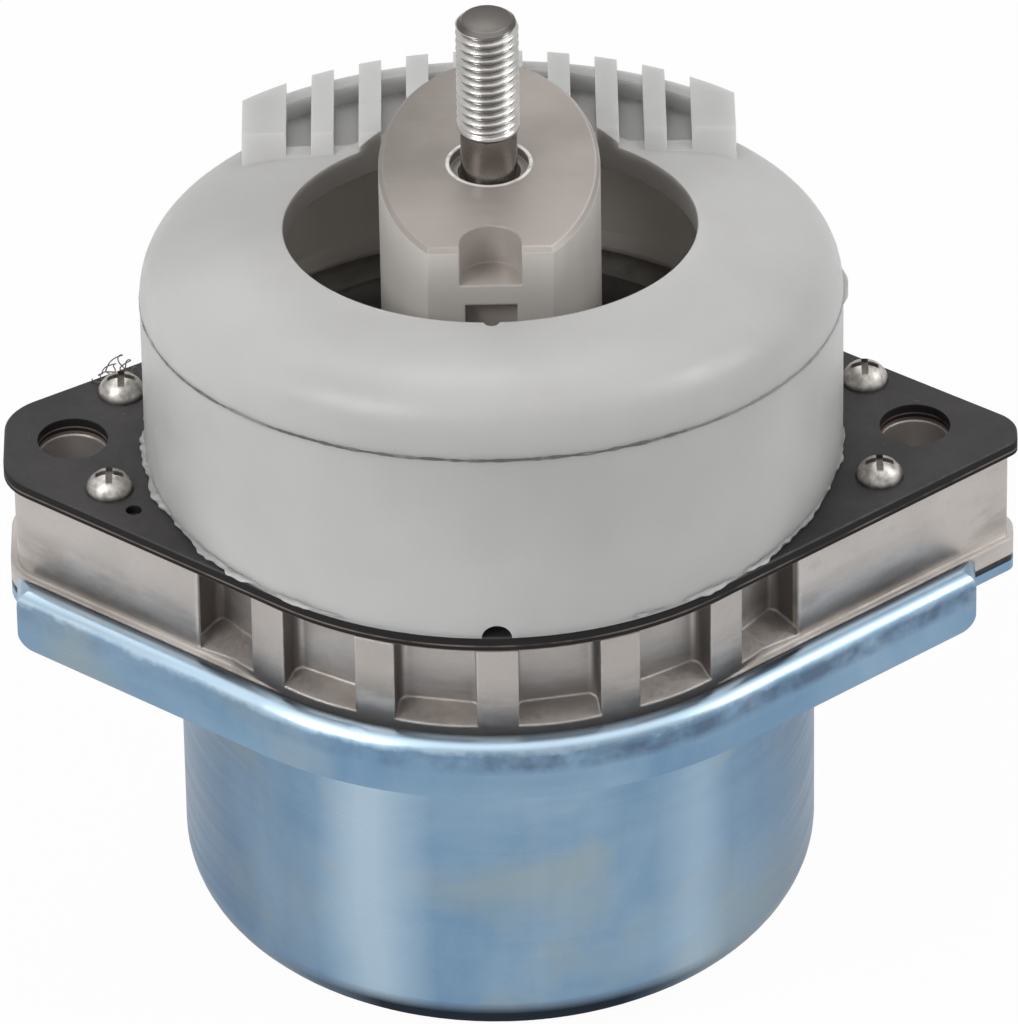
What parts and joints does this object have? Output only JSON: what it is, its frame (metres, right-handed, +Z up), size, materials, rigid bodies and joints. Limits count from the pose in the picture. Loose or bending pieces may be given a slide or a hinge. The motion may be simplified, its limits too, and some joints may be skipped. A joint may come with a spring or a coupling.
{
  "type": "hydraulic engine mount",
  "caption": "Hydraulic engine mount: threaded stud on an oval core in a domed nylon stop ring, over an eared cast housing and a deep steel base cup.",
  "frame": {"origin": "centre of the base cup's underside, on the stud's axis", "axes": "+Z up along the stud; +X from the blunt ear to the longer ear, along the line of the two ear holes; -Y is the side of the core's locating notch"},
  "size_m": [0.1627, 0.1232, 0.1646],
  "materials": {
    "stud_steel": "zinc-plated rolled thread",
    "core_alloy": "machined, matt",
    "nylon": "natural nylon, slightly translucent, satin",
    "black_plate": "black e-coat, satin",
    "seal_rubber": "matt",
    "cast_alloy": "die-cast skin",
    "screw_steel": "zinc-plated",
    "sleeve_steel": "phosphated, rubber-coated",
    "spring_rubber": "matt natural rubber",
    "track_alloy": "die-cast",
    "zinc_steel": "blue zinc plating"
  },
  "bodies": {
    "root": {"stud": "stud_steel", "core": "core_alloy", "stop_ring": "nylon", "top_plate": "black_plate", "plate_seal": "seal_rubber", "housing": "cast_alloy", "screw_rear_left": "screw_steel", "screw_rear_right": "screw_steel", "screw_front_left": "screw_steel", "screw_front_right": "screw_steel", "spring_sleeve": "sleeve_steel", "main_spring": "spring_rubber", "track_upper": "track_alloy", "track_lower": "track_alloy", "track_o_ring": "seal_rubber", "decoupler": "seal_rubber", "diaphragm": "seal_rubber", "support_ring": "sleeve_steel", "lower_gasket": "seal_rubber", "base_cup": "zinc_steel"}
  },
  "joints": []
}
